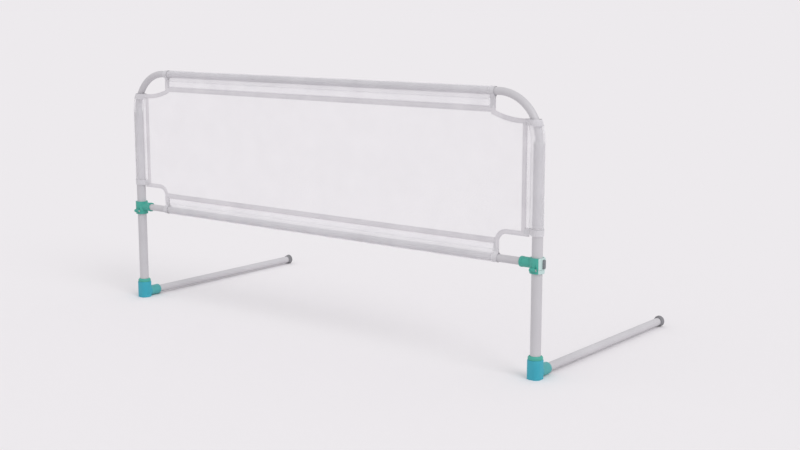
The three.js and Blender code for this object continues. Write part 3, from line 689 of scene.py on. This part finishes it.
# Lengths along a run of points, from its start to each point.
def run_lengths(run):
    lengths = [0]
    for before, after in zip(run, run[1:]):
        lengths.append(lengths[-1] + (Vector(after) - Vector(before)).length)
    return lengths


# Normals along a path in the guard's plane, lengthened at its turns so that a tape keeps its width. The
# sharpest turn bounds how much.
def path_normals(path):
    normals = []
    for index, point in enumerate(path):
        before = Vector(path[max(index - 1, 0)])
        after = Vector(path[min(index + 1, len(path) - 1)])
        here = Vector(point)
        into = (here - before).normalized() if index > 0 else (after - here).normalized()
        out = (after - here).normalized() if index < len(path) - 1 else into
        mean = (into + out).normalized()
        normal = Vector((-mean[1], mean[0]))
        normals.append(normal / max(normal.dot(Vector((-into[1], into[0]))), SHARPEST_TURN))
    return normals


# A folded tape over an edge, along a path of (x, z) places in the guard's plane, with its stitches.
def make_tape(name, path, width_across):
    normals = path_normals(path)
    lengths = run_lengths(path)
    half = width_across / 2
    rows = []
    for place, normal, length in zip(path, normals, lengths):
        row = []
        thick = TAPE_BULGE * (1 + TAPE_WAVE_SHARE * math.sin(length / TAPE_WAVE))
        for front in (-1, 1):
            profile = TAPE_PROFILE if front < 0 else TAPE_PROFILE[::-1]
            for across, swell in profile:
                spot = Vector(place) + normal * (half * across)
                depth = TAPE_EDGE + (thick - TAPE_EDGE) * swell
                row.append((spot[0], GUARD_Y + front * depth, spot[1]))
        rows.append(row)
    grid = np.array(rows)
    count, columns = grid.shape[:2]
    across = np.linalg.norm(np.roll(grid[0], -1, axis=0) - grid[0], axis=1)
    v = np.concatenate([[0], np.cumsum(across)])[:-1]
    places = [(length, v[column]) for length in lengths for column in range(columns)]
    faces = grid_faces(count, columns, closed=True)
    faces.append(tuple(range(columns - 1, -1, -1)))
    faces.append(tuple((count - 1) * columns + column for column in range(columns)))
    tape = make_piece(name, grid.reshape(-1, 3), faces, "binding", "guard", places)
    tape.data.set_sharp_from_angle(angle=TAPE_CREASE)
    runs = []
    depth = TAPE_EDGE + (TAPE_BULGE - TAPE_EDGE) * TAPE_PINCH
    for across in (-TAPE_SEAM, TAPE_SEAM):
        for front in (-1, 1):
            run = [Vector(place) + normal * (half * across) for place, normal in zip(path, normals)]
            runs.append([Vector((spot[0], GUARD_Y + front * depth, spot[1])) for spot in run])
    stitching = make_stitches(f"{name}_stitching", runs)
    return tape, stitching, lengths[-1]


# Short raised stitches at an even pitch along runs of points, as one piece.
def make_stitches(name, runs):
    points = []
    faces = []
    for run in runs:
        lengths = run_lengths(run)
        count = int(lengths[-1] / STITCH_PITCH)
        slack = (lengths[-1] - count * STITCH_PITCH) / 2
        segment = 0
        for index in range(count):
            middle_at = slack + (index + 0.5) * STITCH_PITCH
            while segment < len(run) - 2 and lengths[segment + 1] < middle_at:
                segment += 1
            span = lengths[segment + 1] - lengths[segment]
            centre = run[segment].lerp(run[segment + 1], (middle_at - lengths[segment]) / span)
            direction = (run[segment + 1] - run[segment]).normalized()
            add_stitch(points, faces, centre, direction)
    return make_piece(name, points, faces, "thread", "guard")


# One stitch: a short rod with rounded ends, added to the points and faces.
def add_stitch(points, faces, centre, direction):
    side = direction.cross(Vector((0, 1, 0))).normalized()
    up = side.cross(direction)
    first = len(points)
    for share, thick in STITCH_RINGS:
        for step in range(STITCH_SIDES):
            angle = math.tau * step / STITCH_SIDES
            ring = side * math.cos(angle) + up * math.sin(angle)
            points.append(centre + direction * (STITCH_LENGTH * share) + ring * (STITCH_RADIUS * thick))
    for face in grid_faces(len(STITCH_RINGS), STITCH_SIDES, closed=True):
        faces.append(tuple(first + corner for corner in face))
    last = first + (len(STITCH_RINGS) - 1) * STITCH_SIDES
    faces.append(tuple(first + step for step in range(STITCH_SIDES - 1, -1, -1)))
    faces.append(tuple(last + step for step in range(STITCH_SIDES)))


# Places along an arc, from one angle in degrees to another.
def arc(centre, radius, start, end, steps):
    points = []
    for step in range(steps + 1):
        angle = math.radians(start + (end - start) * step / steps)
        points.append((centre[0] + radius * math.cos(angle), centre[1] + radius * math.sin(angle)))
    return points


# Places along a curve that leaves its first place towards the bend and reaches its last place from it.
def curve(first, bend, last, steps):
    points = []
    for step in range(steps + 1):
        t = step / steps
        x, z = (
            (1 - t) ** 2 * a + 2 * t * (1 - t) * b + t * t * c for a, b, c in zip(first, bend, last)
        )
        points.append((x, z))
    return points


# Places along a straight line, at about an even step.
def line(first, last, step=LONG_TAPE_STEP):
    steps = max(int(round((Vector(last) - Vector(first)).length / step)), 1)
    return [tuple(Vector(first).lerp(Vector(last), index / steps)) for index in range(steps + 1)]


# Middle line of the upper corner tape at the right end: down the sleeve's end, then out to the upright.
def upper_tape_path():
    leg_x = HALF_SPACING - UPPER_TAPE_IN - TAPE_WIDTH / 2
    leg_top = TOP_RAIL_Z - RAIL_CLOSING
    low = TOP_RAIL_Z - UPPER_TAPE_DROP
    bend = (HALF_SPACING - UPPER_TAPE_BEND_IN, TOP_RAIL_Z - UPPER_TAPE_BEND_DROP)
    end_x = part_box("upper_corner_tape_right")[1][X]
    end = (end_x, SIDE_SLEEVE_TOP - TAPE_WIDTH / 2)
    leg = line((leg_x, leg_top), (leg_x, low), TAPE_STEP)
    return leg[:-1] + curve((leg_x, low), bend, end, CURVE_STEPS)


# Middle line of the lower corner tape at the right end: up from the rail sleeve, round and out.
def lower_tape_path():
    centre = (
        HALF_SPACING - LOWER_TAPE_IN - TAPE_WIDTH / 2 + LOWER_TAPE_CORNER,
        BOTTOM_RAIL_Z + LOWER_TAPE_RISE - LOWER_TAPE_CORNER,
    )
    foot = (centre[0] - LOWER_TAPE_CORNER, BOTTOM_RAIL_Z + LOWER_TAPE_FOOT)
    end = (HALF_SPACING - TAPE_END_IN, centre[1] + LOWER_TAPE_CORNER)
    rise = line(foot, (foot[0], centre[1]), CLOTH_STEP)
    corner = arc(centre, LOWER_TAPE_CORNER, 180, 90, CURVE_STEPS)
    level = line((centre[0], end[1]), end, TAPE_STEP)
    return rise[:-1] + corner + level[1:]


def mirrored(path, side):
    return [(side * x, z) for x, z in path]


def make_tapes():
    tapes = []
    for node, half, low, high in (
        ("top_binding", TOP_SLEEVE_HALF, TOP_BINDING_LOW, TOP_BINDING_HIGH),
        ("bottom_binding", BOTTOM_SLEEVE_HALF, BOTTOM_BINDING_LOW, BOTTOM_BINDING_HIGH),
    ):
        end = half - TAPE_WIDTH
        z = (low + high) / 2
        tapes.append((node, line((-end, z), (end, z)), high - low))
    for word, side in SIDES.items():
        x = HALF_SPACING - (SIDE_BINDING_NEAR + SIDE_BINDING_FAR) / 2
        upright = line((x, SIDE_BINDING_BOTTOM), (x, SIDE_BINDING_TOP))
        across = SIDE_BINDING_FAR - SIDE_BINDING_NEAR
        tapes.append((f"side_binding_{word}", mirrored(upright, side), across))
        tapes.append((f"upper_corner_tape_{word}", mirrored(upper_tape_path(), side), TAPE_WIDTH))
        tapes.append((f"lower_corner_tape_{word}", mirrored(lower_tape_path(), side), TAPE_WIDTH))
    for node, path, across in tapes:
        tape, stitching, length = make_tape(f"{node}_cloth", path, across)
        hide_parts(node)


# One sleeve with its hems and seams.
def make_sleeve(node, name, rows, hems, seams):
    sleeve, long, wide = make_cloth(name, rows, "sleeve")
    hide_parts(node)
    for index, hem_rows in enumerate(hems):
        hem, hem_long, hem_wide = make_cloth(f"{name}_hem_{index + 1}", hem_rows, "hem")
    stitching = make_stitches(f"{name}_stitching", seams)


# The two lines along a sleeve where its sides are sewn together.
def section_seams(rows, column):
    other = len(rows[0]) - 1 - column
    return [[Vector(row[place]) for row in rows] for place in (column, other)]


# A line of stitches across a hem, round the sleeve's section.
def hem_seam(row, nudge):
    return [Vector(point) + Vector(nudge) for point in row]


def make_sleeves():
    settings = [
        ("top_sleeve", TOP_SLEEVE_HALF, TOP_RAIL_Z, -1, TOP_RAIL_Z - TOP_BINDING_HIGH, TOP_SEED,
         "top_rail_tube"),
        ("bottom_sleeve", BOTTOM_SLEEVE_HALF, BOTTOM_RAIL_Z, 1, BOTTOM_BINDING_LOW - BOTTOM_RAIL_Z,
         BOTTOM_SEED, "bottom_rail_tube"),
    ]
    for node, half, height, towards, near, seed, carrier in settings:
        ripples = (Ripple(seed, *RAIL_WAVES), Ripple(seed + RAIL_PUCKER_SEED, *RAIL_PUCKER))
        flap_end = near + FLAP_TUCK
        rows = rail_rows(-half, half, height, towards, flap_end, ripples)
        hems = []
        seams = section_seams(rows, FLAP_STEPS)
        for side in SIDES.values():
            inner = side * (half - HEM_WIDTH)
            hem = rail_rows(inner, side * half, height, towards, flap_end, ripples, HEM_RISE)
            hems.append(hem)
            seams.append(hem_seam(hem[0], (side * STITCH_INSET, 0, 0)))
        make_sleeve(node, f"{node}_cloth", rows, hems, seams)
    for word, side in SIDES.items():
        seed = SIDE_SEED + side
        ripples = (Ripple(seed, *SIDE_WAVES), Ripple(seed + SIDE_PUCKER_SEED, *SIDE_PUCKER))
        low, high = SIDE_SLEEVE_BOTTOM, SIDE_SLEEVE_TOP
        rows = side_rows(side, low, high, ripples)
        seams = section_seams(rows, FLAP_STEPS)
        lower = side_rows(side, low, low + HEM_WIDTH, ripples, HEM_RISE)
        upper = side_rows(side, high - HEM_WIDTH, high, ripples, HEM_RISE)
        seams.append(hem_seam(lower[-1], (0, 0, -STITCH_INSET)))
        seams.append(hem_seam(upper[0], (0, 0, STITCH_INSET)))
        make_sleeve(f"side_sleeve_{word}", f"side_sleeve_{word}_cloth", rows, [lower, upper], seams)


# Outline of the net in the guard's plane, reaching into the tapes round it.
def net_outline():
    top = TOP_BINDING_LOW + NET_TUCK
    bottom = BOTTOM_BINDING_HIGH - NET_TUCK
    side = HALF_SPACING - SIDE_BINDING_FAR + NET_TUCK
    highest = TOP_RAIL_Z - UPPER_TAPE_DROP + NET_SLACK
    upper = [(min(x, side), z) for x, z in upper_tape_path() if z < highest]
    lower = [(min(x, side), z) for x, z in lower_tape_path() if x <= side + NET_SLACK]
    right = [(lower[0][0], bottom)] + lower + upper[::-1] + [(upper[0][0], top)]
    left = [(-x, z) for x, z in reversed(right)]
    return right + left


# Where a slanted line crosses an outline, as sorted places along the line.
def crossings(outline, start, direction):
    normal = (-direction[1], direction[0])
    found = []
    for (ax, az), (bx, bz) in zip(outline, outline[1:] + outline[:1]):
        a = (ax - start[0]) * normal[0] + (az - start[1]) * normal[1]
        b = (bx - start[0]) * normal[0] + (bz - start[1]) * normal[1]
        if (a < 0) != (b < 0):
            t = a / (a - b)
            x = ax + (bx - ax) * t
            z = az + (bz - az) * t
            found.append((x - start[0]) * direction[0] + (z - start[1]) * direction[1])
    return sorted(found)


def make_net():
    outline = net_outline()
    lows = [min(p[axis] for p in outline) for axis in (0, 1)]
    highs = [max(p[axis] for p in outline) for axis in (0, 1)]
    height = highs[1] - lows[1]
    reach = height / math.tan(STRAND_SLANT)
    spacing = STRAND_PITCH / math.sin(STRAND_SLANT)
    points = []
    faces = []
    for lean, depth in ((1, -STRAND / 2), (-1, STRAND / 2)):
        direction = (lean * math.cos(STRAND_SLANT), math.sin(STRAND_SLANT))
        first = lows[0] - (reach if lean > 0 else 0)
        last = highs[0] + (reach if lean < 0 else 0)
        for index in range(int((last - first) / spacing)):
            start = (first + (index + 0.5) * spacing, lows[1])
            places = crossings(outline, start, direction)
            for low, high in zip(places[::2], places[1::2]):
                if high - low > SHORTEST_STRAND:
                    add_strand(points, faces, start, direction, low, high, depth)
    net = make_piece("net_panel_net", points, faces, "net", "guard")
    net.data.set_sharp_from_angle(angle=YARN_CREASE)
    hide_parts("net_panel")


# One yarn: a thin square bar along a slanted line.
def add_strand(points, faces, start, direction, low, high, depth):
    first = len(points)
    normal = (-direction[1], direction[0])
    for place in (low, high):
        for across, deep in ((-1, -1), (1, -1), (1, 1), (-1, 1)):
            x = start[0] + direction[0] * place + normal[0] * across * STRAND / 2
            z = start[1] + direction[1] * place + normal[1] * across * STRAND / 2
            points.append((x, GUARD_Y + depth + deep * STRAND / 2, z))
    for corner in range(4):
        after = (corner + 1) % 4
        faces.append((first + corner, first + 4 + corner, first + 4 + after, first + after))
    faces.append((first, first + 1, first + 2, first + 3))
    faces.append((first + 7, first + 6, first + 5, first + 4))


# Camera at the photograph's place, in metres, degrees and millimetres.
CAMERA_PLACE = (1.8989, -2.3538, 0.7378)
CAMERA_DOWN = 9.84
CAMERA_TURN = 38.31
CAMERA_LENS = 57.22
CAMERA_SENSOR = 36
CAMERA_REACH = 500


def make_camera():
    data = bpy.data.cameras.new("photo_camera")
    data.lens = CAMERA_LENS
    data.sensor_width = CAMERA_SENSOR
    data.clip_end = CAMERA_REACH
    camera = add_object("photo_camera", data)
    camera.location = CAMERA_PLACE
    camera.rotation_euler = (math.radians(90 - CAMERA_DOWN), 0, math.radians(CAMERA_TURN))
    bpy.context.scene.camera = camera


# The backdrop and the floor have one pale colour. Each sun: name, turn, strength and spread in degrees.
BACKDROP = colour(237, 234, 237)
WORLD_LIGHT = 0.797
FLOOR_REACH = 150
SUNS = [
    ("key_sun", (50, 0, 75), 0.9, 32),
    ("fill_sun", (60, 0, -50), 0.12, 60),
]


def make_floor():
    corners = [(-1, -1), (1, -1), (1, 1), (-1, 1)]
    points = [(x * FLOOR_REACH, y * FLOOR_REACH, 0) for x, y in corners]
    mesh = bpy.data.meshes.new("floor")
    mesh.from_pydata(points, [], [(0, 1, 2, 3)])
    material, tree, shader = new_material("floor_paper", Roughness=0.9, Specular_IOR_Level=0)
    shader.inputs["Base Color"].default_value = BACKDROP
    mesh.materials.append(material)
    floor = add_object("floor", mesh)


# Even light from all round; the camera and mirrors see the backdrop's own colour.
def make_world():
    world = bpy.data.worlds.new("studio")
    bpy.context.scene.world = world
    world.use_nodes = True
    tree = world.node_tree
    light = tree.nodes["Background"]
    light.inputs["Color"].default_value = (1, 1, 1, 1)
    light.inputs["Strength"].default_value = WORLD_LIGHT
    seen = tree.nodes.new("ShaderNodeBackground")
    seen.inputs["Color"].default_value = BACKDROP
    rays = tree.nodes.new("ShaderNodeLightPath").outputs
    direct = combine(tree, "MAXIMUM", rays["Is Camera Ray"], rays["Is Glossy Ray"])
    direct = combine(tree, "MAXIMUM", direct, rays["Is Transmission Ray"])
    choice = tree.nodes.new("ShaderNodeMixShader")
    tree.links.new(direct, choice.inputs["Fac"])
    tree.links.new(light.outputs["Background"], choice.inputs[1])
    tree.links.new(seen.outputs["Background"], choice.inputs[2])
    tree.links.new(choice.outputs["Shader"], tree.nodes["World Output"].inputs["Surface"])


def make_suns():
    for name, turn, strength, spread in SUNS:
        data = bpy.data.lights.new(name, "SUN")
        data.energy = strength
        data.angle = math.radians(spread)
        sun = add_object(name, data)
        sun.rotation_euler = [math.radians(angle) for angle in turn]


make_camera()
make_world()
make_suns()
make_floor()
make_tubes()
make_mouldings()
make_sleeves()
make_net()
make_tapes()

bpy.context.scene.view_settings.view_transform = "Standard"
